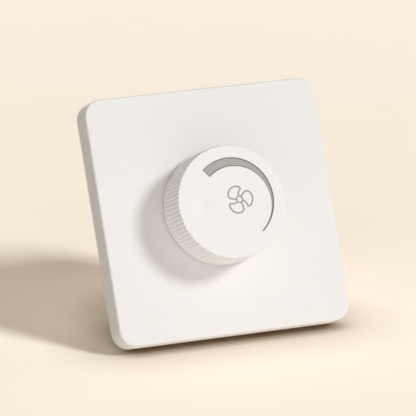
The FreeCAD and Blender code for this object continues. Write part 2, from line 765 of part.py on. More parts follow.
def heatsink():
    """Bent aluminium channel on the back of the board."""
    half = heatsink_width / 2
    z0 = heatsink_z - heatsink_height / 2
    z1 = heatsink_z + heatsink_height / 2
    top = y_board_back + heatsink_fin + heatsink_plate
    solid = block(-half, half, y_board_back, y_board_back + heatsink_plate, z0, z1)
    for side in (-1, 1):
        x0, x1 = sorted((side * half, side * (half - heatsink_plate)))
        solid = solid.fuse(block(x0, x1, y_board_back, top, z0, z1))
    solid = solid.removeSplitter()
    corners = [e for e in solid.Edges
               if abs(e.CenterOfMass.y - y_board_back) < 1e-6 and abs(abs(e.CenterOfMass.x) - half) < 1e-6]
    solid = solid.makeFillet(min(heatsink_round, heatsink_plate * 0.9), corners)
    y_hole = y_board_back + heatsink_plate + 1
    return solid.cut(cylinder(tie_radius + tie_gap, y_board_back - 1, y_hole, 0, tie_z))


def triac():
    """Power switch in its moulded case: body, metal tab and three bent leads."""
    y0 = y_board_back + heatsink_plate
    z0 = heatsink_z - heatsink_height / 2
    body = block(-triac_width / 2, triac_width / 2, y0, y0 + triac_body_depth, z0, triac_top_z)
    tab = block(-triac_width / 2, triac_width / 2, y0, y0 + triac_tab,
                triac_top_z, triac_top_z + triac_tab_height)
    solid = body.fuse(tab).cut(cylinder(tie_radius + tie_gap, y0 - 1, y0 + triac_tab + 1, 0, tie_z))
    y_lead = y0 + triac_body_depth / 2
    half = triac_lead / 2
    leads = []
    for x in triac_leads_x:
        leads.append(block(x - half, x + half, y_lead - half, y_lead + half, triac_lead_z - half, z0))
        leads.append(block(x - half, x + half, y_board - lead_tail, y_lead + half,
                           triac_lead_z - half, triac_lead_z + half))
    return solid.fuse(leads).removeSplitter()


def triac_screw():
    y_seat = y_board_back + heatsink_plate + triac_tab
    head = cylinder(tie_head_radius, y_seat, y_seat + tie_head_height, 0, tie_z)
    y_slot = y_seat + tie_head_height / 2
    head = head.cut(block(-tie_head_radius, tie_head_radius, y_slot, y_seat + tie_head_height + 1,
                          tie_z - tie_slot_width / 2, tie_z + tie_slot_width / 2))
    shank = cylinder(tie_radius, y_board - tie_nut_thickness - tie_spare, y_seat, 0, tie_z)
    return head.fuse(shank).removeSplitter()


def triac_nut():
    y0 = y_board - tie_nut_thickness
    nut = bar(nut_sides, tie_nut_across, y0, y_board, 0, tie_z)
    return nut.cut(cylinder(tie_radius + tie_thread_fit, y0 - 1, y_board + 1, 0, tie_z))


def choke_core():
    """Ferrite drum of the interference choke."""
    y0 = y_board_back
    y1 = y0 + choke_height
    cheeks = [cylinder(choke_radius, y, y + choke_cheek, choke_x, rear_row_z) for y in (y0, y1 - choke_cheek)]
    return cylinder(choke_core_radius, y0, y1, choke_x, rear_row_z).fuse(cheeks).removeSplitter()


def wire(y0, y1, x=0.0, z=0.0):
    """Straight lead wire along Y, with few sides because there are many of them."""
    return bar(lead_sides, 2 * lead_radius, y0, y1, x, z)


def lead(x, z, y_top):
    """Wire straight through the board, with its end just in front of it."""
    return wire(y_board - lead_tail, y_top, x, z)


def choke_winding():
    """Wound wire on the drum, as one round pack, with its two ends through the board."""
    inner = choke_core_radius + winding_fit
    outer = choke_radius - winding_inset
    y0 = y_board_back + choke_cheek + winding_fit
    y1 = y_board_back + choke_height - choke_cheek - winding_fit
    solid = tube(outer, inner, y0, y1, choke_x, rear_row_z)
    y_wire = (y0 + y1) / 2
    for z in choke_leads_z:
        z0, z1 = sorted((z, rear_row_z + math.copysign(outer - lead_radius, z - rear_row_z)))
        run = wire(z0, z1)
        run.rotate(V(0, 0, 0), V(1, 0, 0), 90)
        run.translate(V(choke_x, y_wire, 0))
        solid = solid.fuse([lead(choke_x, z, y_wire + lead_radius + lead_knee), run])
    return solid.removeSplitter()


def film_capacitor():
    solid = block(capacitor_x - capacitor_width / 2, capacitor_x + capacitor_width / 2,
                  y_board_back, y_board_back + capacitor_depth,
                  rear_row_z - capacitor_height / 2, rear_row_z + capacitor_height / 2)
    upright = [e for e in solid.Edges if abs(e.tangentAt(e.FirstParameter).y) > 0.9]
    solid = solid.makeFillet(capacitor_round, upright)
    return solid.fuse([lead(x, rear_row_z, y_board_back + lead_radius) for x in capacitor_leads_x])


def axial_part(x, z, length, profile, upright):
    """A part with two leads, lying on the front of the board. profile is (radius, along) from its middle."""
    thick = max(radius for radius, along in profile)
    y_axis = y_board - thick - lead_lift
    body = revolve([(0, -length / 2)] + list(profile) + [(0, length / 2)])
    reach = length / 2 + lead_bend_reach
    solid = body.fuse(wire(-reach, reach))
    solid.rotate(V(0, 0, 0), V(0, 0, 1), -90)
    solid.translate(V(0, y_axis, 0))
    for side in (-1, 1):
        solid = solid.fuse(wire(y_axis - lead_radius - lead_knee, y_board_back + lead_tail, side * reach))
    if upright:
        solid.rotate(V(0, 0, 0), V(0, 1, 0), 90)
    solid.translate(V(x, 0, z))
    return solid.removeSplitter()


def axial_places():
    """Name, place, length and direction of each axial part on the front of the board."""
    fuse_x = lane_x - lead_radius - fuse_length / 2 - lead_bend_reach
    return {"fuse": (-fuse_x, fuse_z, fuse_length, False),
            "gate_resistor": (-lane_x, knob_centre_z + 1, resistor_length, True),
            "timing_resistor": (lane_x, knob_centre_z + 1, resistor_length, True),
            "trigger_diode": (lane_x - diode_from_lane, diode_z, diode_length, False)}


def axial_holes():
    holes = []
    for x, z, length, upright in axial_places().values():
        reach = length / 2 + lead_bend_reach
        for side in (-1, 1):
            holes.append((x, z + side * reach) if upright else (x + side * reach, z))
    return holes


def resistor(name):
    x, z, length, upright = axial_places()[name]
    end = length / 2
    return axial_part(x, z, length, [(resistor_radius, -end), (resistor_radius, end)], upright)


def trigger_diode():
    x, z, length, upright = axial_places()["trigger_diode"]
    end = length / 2
    return axial_part(x, z, length, [(diode_radius, -end), (diode_radius, end)], upright)


def fuse():
    x, z, length, upright = axial_places()["fuse"]
    end = length / 2
    tube_radius = fuse_radius - fuse_cap_step
    inner = end - fuse_cap_length
    profile = [(fuse_radius, -end), (fuse_radius, -inner), (tube_radius, -inner), (tube_radius, inner),
               (fuse_radius, inner), (fuse_radius, end)]
    return axial_part(x, z, length, profile, upright)


def terminal_block(x):
    """Brass clamp on the board: wire bore from below, screw hole from behind, two solder tails."""
    solid = block(x - terminal_width / 2, x + terminal_width / 2, y_board_back, y_board_back + terminal_depth,
                  terminal_z - terminal_height / 2, terminal_z + terminal_height / 2)
    tails = [block(x + dx - pin_width / 2, x + dx + pin_width / 2, y_board - terminal_tail, y_board_back,
                   terminal_z - pin_thickness / 2, terminal_z + pin_thickness / 2) for dx in terminal_tails]
    bore = Part.makeCylinder(terminal_bore_radius, terminal_height + 2,
                             V(x, terminal_bore_y, terminal_z - terminal_height / 2 - 1), V(0, 0, 1))
    hole = cylinder(clamp_screw_radius + clamp_thread_fit, terminal_bore_y, y_board_back + terminal_depth + 1,
                    x, terminal_z)
    return solid.fuse(tails).cut([bore, hole]).removeSplitter()


def clamp_screw(x):
    """Headless slotted screw in a terminal, backed off so that the wire bore is free."""
    y_end = y_board_back + terminal_depth - clamp_screw_sink
    y_tip = terminal_bore_y + terminal_bore_radius + clamp_tip_gap
    solid = cylinder(clamp_screw_radius, y_tip, y_end, x, terminal_z)
    rim = [e for e in solid.Edges if abs(e.CenterOfMass.y - y_end) < 1e-6]
    solid = solid.makeChamfer(clamp_end_chamfer, rim)
    return solid.cut(block(x - clamp_screw_radius, x + clamp_screw_radius,
                           y_end - clamp_slot_depth, y_end + 1,
                           terminal_z - clamp_slot_width / 2, terminal_z + clamp_slot_width / 2))


parts = {
    "cover_plate": cover_plate(),
    "base_frame": base_frame(),
    "rear_housing": rear_housing(),
    "housing_screws": housing_screws(),
    "board_screws": board_screws(),
    "circuit_board": circuit_board(),
    "pot_bush": pot_bush(),
    "pot_wafer": pot_wafer(),
    "pot_pins": pot_pins(),
    "pot_can": pot_can(),
    "pot_rotor": pot_rotor(),
    "pot_wiper": pot_wiper(),
    "pot_shaft": pot_shaft(),
    "pot_washer": pot_washer(),
    "pot_nut": pot_nut(),
    "shaft_ring": shaft_ring(),
    "switch_body": switch_body(),
    "switch_blades": switch_blades(),
    "switch_cam": switch_cam(),
    "knob": knob(),
    "knob_clip": knob_clip(),
    "heatsink": heatsink(),
    "triac": triac(),
    "triac_screw": triac_screw(),
    "triac_nut": triac_nut(),
    "choke_core": choke_core(),
    "choke_winding": choke_winding(),
    "film_capacitor": film_capacitor(),
    "gate_resistor": resistor("gate_resistor"),
    "timing_resistor": resistor("timing_resistor"),
    "trigger_diode": trigger_diode(),
    "fuse": fuse(),
}
for side, x in zip(("left", "right"), terminals_x):
    parts["terminal_" + side] = terminal_block(x)
    parts["clamp_screw_" + side] = clamp_screw(x)

os.makedirs("parts", exist_ok=True)
for node, shape in parts.items():
    shape.exportStep(os.path.join("parts", node + ".step"))
    print(node, "solids", len(shape.Solids), "valid", shape.isValid(), "volume", round(shape.Volume, 2))
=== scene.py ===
"""Looks of the rotary fan speed control: plate and ribbed knob, and the housing and mechanism behind.

Lengths are metres in the part's own frame. y = 0 is the wall's surface, the room is on the -Y side
and +Z is up.
"""
import json
import math

import bmesh
import bpy
from mathutils import Matrix, Vector


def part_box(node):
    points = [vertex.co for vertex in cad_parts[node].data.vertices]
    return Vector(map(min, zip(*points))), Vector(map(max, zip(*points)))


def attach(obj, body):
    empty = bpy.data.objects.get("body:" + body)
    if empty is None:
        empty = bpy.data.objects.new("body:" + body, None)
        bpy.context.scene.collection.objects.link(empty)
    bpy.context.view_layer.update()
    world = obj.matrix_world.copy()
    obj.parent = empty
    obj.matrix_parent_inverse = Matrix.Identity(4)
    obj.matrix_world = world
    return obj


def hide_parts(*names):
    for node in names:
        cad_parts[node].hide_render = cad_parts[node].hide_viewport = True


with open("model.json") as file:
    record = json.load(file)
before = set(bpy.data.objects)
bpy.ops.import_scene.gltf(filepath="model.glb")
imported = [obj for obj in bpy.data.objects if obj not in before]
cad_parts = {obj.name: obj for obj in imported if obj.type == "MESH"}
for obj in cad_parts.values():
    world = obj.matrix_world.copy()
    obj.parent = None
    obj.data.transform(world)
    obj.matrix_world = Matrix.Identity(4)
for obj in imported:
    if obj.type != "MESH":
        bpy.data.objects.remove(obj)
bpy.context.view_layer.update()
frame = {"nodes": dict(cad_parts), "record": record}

MM = 0.001
WELD = 0.002 * MM

# Camera, solved from the plate's corners and the knob's outlines
view_azimuth = math.radians(-22.01)
view_elevation = math.radians(-5.99)
view_roll = math.radians(-9.27)
view_distance = 1.6176
view_target = Vector((-0.16, 0, 2.27)) * MM
focal_pixels = 4664
frame_pixels = 416
sensor_width = 36.0
camera_near = 0.01
camera_far = 20

# Light
key_direction = Vector((0.615, -0.725, 0.31))
key_strength = 1.66
key_softness = math.radians(14)
key_tone = (0.95, 0.98, 1.0)
fill_direction = Vector((-0.36, -0.90, -0.40))
fill_strength = 1.32
fill_softness = math.radians(100)
fill_tone = (0.95, 0.98, 1.0)
back_direction = Vector((0.25, 0.85, 0.33))
back_strength = 1.4
back_softness = math.radians(40)
back_tone = (1.0, 0.98, 0.96)
room_strength = 0.20
room_tone = (1.0, 0.90, 0.78, 1.0)

# Floor, tilted as the part leans back on its plate's rim and its housing's lower edge
housing_foot = -28.0 * MM
floor_reach = 0.9
floor_fade_start = 0.17
floor_fade_end = 0.42
floor_seen = (1.54, 1.39, 1.21, 1.0)
floor_cloud = 0.1
floor_cloud_scale = 40.0

# Painted contact shade: the floor's colour, darker close to the part, from the part's occlusion
contact_reach = 26 * MM
contact_depth = 1.5
contact_rays = 16
painted_contact_shade = (0.10, 0.05, 0.01, 1.0)

# White plastic: the share of light that soaks in, how far it goes, and the gloss
plastic_soak = 0.3
plastic_reach = 0.6 * MM
plastic_gloss = 0.25
plastic_soak_tone = (1.0, 0.9, 0.8)

# Noise: the range that most of it lies in, and the scales of a moulding's clouds, gloss and fine grain
noise_low = 0.3
noise_high = 0.7
cloud_scale = 60.0
gloss_scale = 220.0
white_grain_scale = 2600.0

# Cover plate
plate_corner = 6.0 * MM
plate_corner_segments = 16
plate_edge_round = 0.7 * MM
plate_edge_segments = 10
plate_front_wall = 2.0 * MM
plate_side_wall = 1.7 * MM
cover_hole_radius = 7.0 * MM
cover_hole_steps = 96
cover_hole_run = 12 * MM
cover_collar_wall = 1.4 * MM
cover_collar_height = 1.4 * MM
cover_collar_sink = 0.5 * MM
hook_width = 8.0 * MM
hook_reach = 1.1 * MM
hook_height = 1.8 * MM
hook_spacing = 44.0 * MM
hook_from_wall = 2.4 * MM
hook_root = 0.3 * MM

# Knob
rib_count = 84
rib_columns = 8
rib_rows = 6
rib_depth = 0.4 * MM
knob_flange_height = 1.1 * MM
knob_flange_step = 0.3 * MM
knob_flange_round = 0.2 * MM
knob_flange_corner = 0.3 * knob_flange_round
knob_draft = 0.1 * MM
knob_round = 0.45 * MM
knob_round_rows = 7
knob_top_wall = 2.3 * MM
knob_side_wall = 1.5 * MM
hub_radius = 5.0 * MM
hub_web_count = 6
hub_web_wall = 1.2 * MM
hub_web_height = 6.0 * MM
hub_bore_radius = 3.05 * MM
hub_flat = 1.9 * MM
hub_sink = 0.3 * MM
dimple_offset = -11.0 * MM
dimple_radius = 4.2 * MM
dimple_depth = 0.36 * MM
dimple_rim_step = 0.004 * MM
dimple_rows = 10
dimple_steps = 96
mark_depth = 0.25 * MM

# Ink of the marks, between these shares of their depth
ink_start = 0.3
ink_full = 0.6
ink_thin = 1.2
ink_end = 1.4
ink_edge = 0.1 * MM

# Arc and symbol
arc_offset_x = 0.68 * MM
arc_offset_z = 0.39 * MM
arc_outer_radius = 14.9 * MM
arc_inner_radius = 12.98 * MM
arc_shift = 1.5 * MM
arc_tip_angle = math.radians(-53)
arc_sweep = math.radians(182.7)
arc_line = 0.34 * MM
arc_line_edge = 0.7
arc_margin = 0.4 * MM
arc_steps = 96
symbol_offset = 2.9 * MM
symbol_rise = 0.42 * MM
symbol_line = 0.5 * MM
symbol_turn = math.radians(4)
symbol_hub_radius = 1.1 * MM
symbol_steps = 8
hub_steps = 48
blade_reach = 4.6 * MM
blade_count = 3

# Outline of one blade: angles in degrees, and before them the share of the blade's reach
blade_root_front = 121
blade_front_bow = (0.48, 104)
blade_tip_front = (0.80, 85)
blade_tip_bow = (0.885, 89)
blade_tip_back = (0.93, 98)
blade_rim_bow = (1.0, 128)
blade_heel_front = (0.93, 154)
blade_heel_bow = (0.82, 164)
blade_heel_back = (0.60, 168)
blade_root_back = 172

# Tapping screws of the housing and the board, and the headless screws of the terminals
screw_steps = 32
tapping_head_radius = 2.5 * MM
tapping_head_height = 1.6 * MM
tapping_dome_rows = 5
tapping_radius = 1.3 * MM
tapping_core = 1.0 * MM
tapping_pitch = 0.9 * MM
tapping_tip = 1.2 * MM
tapping_point = 0.3
tapping_head_straight = 0.4
recess_reach = 1.35 * MM
recess_width = 0.55 * MM
recess_depth = 1.0 * MM
clamp_core = 1.78 * MM
clamp_pitch = 0.7 * MM
clamp_chamfer = 0.3 * MM
clamp_slot_width = 0.7 * MM
clamp_slot_depth = 0.9 * MM
thread_sink = 0.1 * MM
ear_corners = ((-1, -1), (-1, 1), (1, -1), (1, 1))
post_corners = ((-1, 1), (1, -1))

# How far a cutter stands past what it cuts
cutter_reach = 1.0 * MM

# Edges of new pieces: where shading breaks, what counts as flat, and how much is rounded off
crisp_angle = math.radians(32)
normal_weight = 80
flat_angle = math.radians(0.5)
soften_angle = math.radians(50)
housing_soften = 0.2 * MM
frame_soften = 0.12 * MM

# Markings of the pieces inside
track_inner = 4.7 * MM
track_outer = 6.9 * MM
track_edge = 0.1 * MM
wire_pitch = 0.45 * MM
board_rim = 0.05 * MM
board_rim_edge = 0.02 * MM
band_half = 0.28 * MM
resistor_half = 3.25 * MM
diode_half = 1.95 * MM
diode_band = 1.3 * MM
diode_band_half = 0.3 * MM
fuse_cap_start = 5.0 * MM
lead_blur = 0.05 * MM

knob_low, knob_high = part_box("knob")
knob_axis_z = (knob_low.z + knob_high.z) / 2
knob_radius = (knob_high.x - knob_low.x) / 2
face_y, base_y = knob_low.y, knob_high.y
flange_y = base_y - knob_flange_height
plate_low, plate_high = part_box("cover_plate")
housing_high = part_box("rear_housing")[1]


def colour(red, green, blue):
    """Linear RGBA from the 0 to 255 values of a colour picker."""
    def linear(value):
        value /= 255
        return value / 12.92 if value <= 0.04045 else ((value + 0.055) / 1.055) ** 2.4

    return (linear(red), linear(green), linear(blue), 1.0)


class Signal:
    """A socket that takes plain arithmetic: each operation adds one Math node behind it."""

    def __init__(self, finish, socket):
        self.finish = finish
        self.socket = socket

    def __add__(self, other):
        return self.finish.maths("ADD", self, other)

    def __sub__(self, other):
        return self.finish.maths("SUBTRACT", self, other)

    def __mul__(self, other):
        return self.finish.maths("MULTIPLY", self, other)

    def __rsub__(self, other):
        return self.finish.maths("SUBTRACT", other, self)

    def __pow__(self, other):
        return self.finish.maths("POWER", self, other)

    __radd__ = __add__
    __rmul__ = __mul__


class Finish:
    """One material, or the world: node() adds a node, and the other methods are short words for it."""

    def __init__(self, owner):
        owner.use_nodes = True
        self.owner = owner
        self.tree = owner.node_tree
        self.tree.nodes.clear()

    def node(self, kind, values=None, out=0, **settings):
        """Adds a node: its settings first, then the values or links of its sockets."""
        made = self.tree.nodes.new(kind)
        for name, value in settings.items():
            setattr(made, name, value)
        for name, value in (values or {}).items():
            if isinstance(value, Signal):
                self.tree.links.new(value.socket, made.inputs[name])
            else:
                made.inputs[name].default_value = value
        return Signal(self, made.outputs[out]) if len(made.outputs) else made

    def maths(self, operation, *values):
        return self.node("ShaderNodeMath", dict(enumerate(values)), operation=operation)

    def smallest(self, one, other):
        return self.maths("MINIMUM", one, other)

    def largest(self, one, other):
        return self.maths("MAXIMUM", one, other)

    def size(self, value):
        return self.maths("ABSOLUTE", value)

    def place(self):
        return self.node("ShaderNodeTexCoord", out="Object")

    def axes(self):
        """X, Y and Z of the point, in the part's frame."""
        split = self.node("ShaderNodeSeparateXYZ", {0: self.place()}).socket.node
        return [Signal(self, output) for output in split.outputs]

    def noise(self, scale, detail=3.0, stretch=(1, 1, 1)):
        mapped = self.node("ShaderNodeMapping", {"Vector": self.place(), "Scale": stretch})
        return self.node("ShaderNodeTexNoise", {"Vector": mapped, "Scale": scale, "Detail": detail})

    def ramp(self, value, low, high, start=0.0, stop=1.0):
        """A soft step: start where value is low, stop where it is high."""
        return self.node("ShaderNodeMapRange", {0: value, 1: low, 2: high, 3: start, 4: stop},
                         interpolation_type="SMOOTHSTEP")

    def blend(self, factor, one, other):
        return self.node("ShaderNodeMix", {0: factor, 6: one, 7: other}, out=2, data_type="RGBA")

    def tinted(self, base, value, amount):
        """The base colour, a little lighter and darker as value goes from 0 to 1."""
        dark = tuple(part * (1 - amount) for part in base[:3]) + (1.0,)
        light = tuple(min(part * (1 + amount), 1.0) for part in base[:3]) + (1.0,)
        return self.blend(value, dark, light)

    def bump(self, height, distance):
        return self.node("ShaderNodeBump", {"Height": height, "Distance": distance, "Strength": 1.0})

    def surface(self, **values):
        """The Principled shader, from words such as base_color, and the material's output."""
        sockets = {name.replace("_", " ").title().replace("Ior", "IOR"): value
                   for name, value in values.items()}
        shader = self.node("ShaderNodeBsdfPrincipled", sockets)
        self.node("ShaderNodeOutputMaterial", {"Surface": shader})
        return self.owner


def material(name):
    """A new material with a slot's name, which the plain one from the model gives up."""
    plain = bpy.data.materials.get(name)
    if plain:
        plain.name = name + "_plain"
    return Finish(bpy.data.materials.new(name))


def distance_from(finish, one, other, centre_one, centre_other):
    """Distance of the point from a line, from its two coordinates across that line."""
    across = one - centre_one
    along = other - centre_other
    return finish.maths("SQRT", across * across + along * along)


def moulded(finish, base, roughness, grain_scale, grain_depth, tint=0.012):
    """Values of a satin moulding: faint clouds in the colour, uneven gloss and the grain of its mould."""
    clouds = finish.noise(cloud_scale)
    grain = finish.noise(grain_scale, 2.0)
    return {"base_color": finish.tinted(base, clouds, tint),
            "roughness": finish.ramp(finish.noise(gloss_scale, 4.0), noise_low, noise_high,
                                     roughness - 0.03, roughness + 0.04),
            "normal": finish.bump(grain, grain_depth)}


def translucent(values):
    """Adds the light that soaks into white plastic and softens its edges, and lowers its gloss."""
    return dict(values, subsurface_weight=plastic_soak, subsurface_radius=plastic_soak_tone,
                subsurface_scale=plastic_reach, specular_ior_level=plastic_gloss)


def white_cover():
    finish = material("white_cover")
    values = moulded(finish, colour(244, 240, 238), 0.58, white_grain_scale, 0.004 * MM)
    return finish.surface(**translucent(values))


def white_knob():
    """Satin white, with grey ink on the floors of the marks in the knob's face."""
    finish = material("white_knob")
    values = moulded(finish, colour(248, 244, 243), 0.56, white_grain_scale, 0.003 * MM)
    x, y, z = finish.axes()
    sunk = finish.ramp(y, face_y + ink_start * mark_depth, face_y + ink_full * mark_depth)
    above = finish.ramp(y, face_y + ink_end * mark_depth, face_y + ink_thin * mark_depth)
    in_dimple = finish.ramp(distance_from(finish, x, z, dimple_offset, knob_axis_z),
                            dimple_radius + ink_edge, dimple_radius + 2 * ink_edge)
    arc_z = knob_axis_z + arc_offset_z
    from_centre = distance_from(finish, x, z, arc_offset_x, arc_z)
    ink_limit = arc_outer_radius + arc_margin
    on_face = finish.ramp(from_centre, ink_limit + ink_edge, ink_limit)
    ink = sunk * above * in_dimple * on_face
    from_shifted = distance_from(finish, x, z, arc_offset_x + arc_shift * math.cos(arc_tip_angle),
                                 arc_z + arc_shift * math.sin(arc_tip_angle))
    wide_angle = arc_tip_angle + arc_sweep
    past_end = (z - arc_z) * math.cos(wide_angle) - (x - arc_offset_x) * math.sin(wide_angle)
    inside = finish.smallest(finish.smallest(arc_outer_radius - from_centre, from_shifted - arc_inner_radius),
                             finish.size(past_end))
    outline = finish.ramp(inside, arc_line, arc_line * arc_line_edge)
    in_arc = finish.ramp(from_centre, arc_inner_radius - 2 * arc_shift, arc_inner_radius - 1.5 * arc_shift)
    arc_ink = finish.blend(outline, colour(180, 175, 171), colour(104, 101, 97))
    ink_colour = finish.blend(in_arc, colour(177, 172, 168), arc_ink)
    values["base_color"] = finish.blend(ink, values["base_color"], ink_colour)
    return finish.surface(**translucent(values))


def white_frame():
    finish = material("white_frame")
    return finish.surface(**moulded(finish, colour(236, 233, 228), 0.50, 1800.0, 0.006 * MM))


def grey_housing():
    finish = material("grey_housing")
    return finish.surface(**moulded(finish, colour(226, 224, 220), 0.55, 1500.0, 0.012 * MM, 0.02))


def black_moulding():
    finish = material("black_moulding")
    return finish.surface(**moulded(finish, colour(44, 44, 45), 0.48, 1500.0, 0.01 * MM, 0.10))


def metal(name, base, roughness, streak=(1, 1, 1), scale=900.0, depth=0.003 * MM):
    """Bare or plated metal with fine streaks along one direction."""
    finish = material(name)
    streaks = finish.noise(scale, 4.0, streak)
    return finish.surface(base_color=finish.tinted(base, streaks, 0.06), metallic=1.0,
                          roughness=finish.ramp(streaks, 0.25, 0.75, roughness - 0.07, roughness + 0.10),
                          normal=finish.bump(streaks, depth))


def laminate():
    """Brown paper laminate with the printed resistance track under the wiper."""
    finish = material("laminate")
    x, y, z = finish.axes()
    fibres = finish.noise(1400.0, 4.0, (1, 1, 0.2))
    paper = finish.tinted(colour(158, 112, 66), fibres, 0.12)
    radius = distance_from(finish, x, z, 0.0, knob_axis_z)
    inner_side = finish.ramp(radius, track_inner, track_inner + track_edge)
    track = inner_side * finish.ramp(radius, track_outer, track_outer - track_edge)
    wafer_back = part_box("pot_wafer")[1].y
    back = finish.ramp(y, wafer_back - track_edge, wafer_back)
    return finish.surface(base_color=finish.blend(track * back, paper, colour(34, 32, 31)), roughness=0.5,
                          normal=finish.bump(fibres, 0.01 * MM))


def board_green():
    """Solder mask over copper tracks, with bare laminate at the board's edges."""
    finish = material("board_green")
    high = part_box("circuit_board")[1]
    x, _, z = finish.axes()
    weave = finish.noise(900.0, 2.0)
    cell = finish.node("ShaderNodeTexBrick", {"Vector": finish.place(), "Scale": 140.0, "Mortar Size": 0.06,
                                              "Color1": (0, 0, 0, 1), "Color2": (0.2, 0.2, 0.2, 1),
                                              "Mortar": (1, 1, 1, 1)})
    mask = finish.blend(cell, colour(22, 92, 52), colour(58, 132, 74))
    rim = finish.largest(finish.size(x) - (high.x - board_rim), finish.size(z) - (high.z - board_rim))
    edge = finish.ramp(rim, 0.0, board_rim_edge)
    return finish.surface(base_color=finish.blend(edge, mask, colour(196, 178, 120)), roughness=0.35,
                          normal=finish.bump(weave, 0.01 * MM))


def ferrite():
    finish = material("ferrite")
    grit = finish.noise(2400.0, 5.0)
    return finish.surface(base_color=finish.tinted(colour(62, 60, 60), grit, 0.25), roughness=0.6,
                          normal=finish.bump(grit, 0.02 * MM))


def enamelled_wire():
    """Close turns of varnished copper round the choke, with shade painted dark between the turns and light on
    their crests.
    """
    finish = material("enamelled_wire")
    y = finish.axes()[1]
    # Painted shade: each turn darker at its sides and lighter on its crest, with a bump that follows it
    turns = finish.maths("SINE", y * (2 * math.pi / wire_pitch))
    tone = finish.ramp(turns, -1.0, 1.0)
    return finish.surface(base_color=finish.blend(tone, colour(96, 38, 16), colour(186, 92, 44)),
                          metallic=0.6, coat_weight=0.5,
                          roughness=finish.ramp(finish.noise(700.0), noise_low, noise_high, 0.24, 0.34),
                          normal=finish.bump(tone, 0.08 * MM))


def capacitor_case():
    finish = material("capacitor_case")
    dip = finish.noise(260.0, 2.0)
    return finish.surface(base_color=finish.tinted(colour(176, 50, 36), dip, 0.06),
                          roughness=finish.ramp(dip, noise_low, noise_high, 0.22, 0.32),
                          normal=finish.bump(dip, 0.04 * MM))


def along_part(finish, node):
    """Distance from the middle of a part along its longer side."""
    low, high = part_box(node)
    x, _, z = finish.axes()
    if high.x - low.x > high.z - low.z:
        return finish.size(x - (low.x + high.x) / 2)
    return finish.size(z - (low.z + high.z) / 2)


def leaded(name, node, body_colour, body_half, bands):
    """Lacquered body with tinned leads. bands are (from the middle, half width, colour) rings."""
    finish = material(name)
    along = along_part(finish, node)
    wear = finish.noise(500.0)
    shade = finish.tinted(body_colour, wear, 0.05)
    for centre, half, ring in bands:
        shade = finish.blend(finish.ramp(finish.size(along - centre), half, half * 0.8), shade, ring)
    wire = finish.ramp(along, body_half, body_half + lead_blur)
    return finish.surface(base_color=finish.blend(wire, shade, colour(196, 196, 190)), metallic=wire,
                          roughness=finish.ramp(wear, noise_low, noise_high, 0.26, 0.36),
                          normal=finish.bump(wear, 0.01 * MM))


def resistor_body():
    bands = ((2.2 * MM, band_half, colour(120, 62, 30)), (1.2 * MM, band_half, colour(28, 26, 26)),
             (0.2 * MM, band_half, colour(226, 120, 30)))
    return leaded("resistor_body", "gate_resistor", colour(222, 200, 156), resistor_half, bands)


def diode_blue():
    return leaded("diode_blue", "trigger_diode", colour(74, 106, 158), diode_half,
                  ((diode_band, diode_band_half, colour(24, 26, 32)),))


def fuse_glass():
    """Pale glass between bright metal caps."""
    finish = material("fuse_glass")
    along = along_part(finish, "fuse")
    wear = finish.noise(420.0)
    cap = finish.ramp(along, fuse_cap_start, fuse_cap_start + lead_blur)
    glass = finish.tinted(colour(214, 224, 222), wear, 0.03)
    return finish.surface(base_color=finish.blend(cap, glass, colour(206, 204, 198)), metallic=cap,
                          roughness=finish.ramp(wear, noise_low, noise_high, 0.08, 0.2))


def all_finishes():
    """Every finish by the name of its material slot."""
    made = [white_cover(), white_knob(), white_frame(), grey_housing(), black_moulding(), laminate(),
            board_green(), ferrite(), enamelled_wire(), capacitor_case(), resistor_body(), diode_blue(),
            fuse_glass(),
            metal("zinc_steel", colour(206, 208, 210), 0.30, (1, 0.1, 1)),
            metal("spring_steel", colour(160, 160, 162), 0.34, (1, 0.1, 1)),
            metal("plated_steel", colour(204, 200, 192), 0.28, (1, 0.1, 1)),
            metal("die_cast", colour(184, 185, 188), 0.42, scale=1600.0, depth=0.01 * MM),
            metal("turned_aluminium", colour(214, 216, 218), 0.30, (0.1, 1, 0.1)),
            metal("contact_brass", colour(214, 180, 104), 0.26, (1, 0.1, 1))]
    return {one.name: one for one in made}


def solid_object(bm, name):
    """A scene object from a bmesh, whose place is in its mesh."""
    mesh = bpy.data.meshes.new(name)
    bm.to_mesh(mesh)
    bm.free()
    made = bpy.data.objects.new(name, mesh)
    bpy.context.scene.collection.objects.link(made)
    return made


def new_verts(result):
    """The vertices among what an extrusion made."""
    return [part for part in result["geom"] if isinstance(part, bmesh.types.BMVert)]


def keep_modifiers(made):
    """Puts the result of the object's modifiers into its mesh."""
    result = bpy.data.meshes.new_from_object(made.evaluated_get(bpy.context.evaluated_depsgraph_get()))
    made.modifiers.clear()
    made.data = result


def combine(made, tool_bm, operation):
    """Cuts a solid from the object, or adds one."""
    tool = solid_object(tool_bm, "tool")
    step = made.modifiers.new("step", "BOOLEAN")
    step.operation = operation
    step.solver = "EXACT"
    step.object = tool
    keep_modifiers(made)
    bpy.data.objects.remove(tool)


def complete(made, finish, body, node):
    """Smooth shading with crisp edges, the finish, and the place of the piece in the part."""
    made.data.shade_smooth()
    made.data.set_sharp_from_angle(angle=crisp_angle)
    steady = made.modifiers.new("steady", "WEIGHTED_NORMAL")
    steady.keep_sharp = True
    steady.weight = normal_weight
    keep_modifiers(made)
    made.data.materials.clear()
    made.data.materials.append(finish)
    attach(made, body)
    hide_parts(node)


def across_wall(x, z, y=0.0):
    """Stands a shape made in the XY plane up in the plane of the wall, at a place on it."""
    return Matrix.Translation((x, y, z)) @ Matrix.Rotation(math.radians(90), 4, "X")


def disc(radius, steps, x, z, y):
    bm = bmesh.new()
    bmesh.ops.create_circle(bm, cap_ends=True, segments=steps, radius=radius, matrix=across_wall(x, z, y))
    return bm


def thicken(bm, depth):
    """Makes a solid of all faces, by moving a copy of them along Y."""
    made = bmesh.ops.extrude_face_region(bm, geom=bm.faces[:], use_keep_orig=True)
    bmesh.ops.translate(bm, verts=new_verts(made), vec=(0, depth, 0))
    bmesh.ops.recalc_face_normals(bm, faces=bm.faces)
    return bm


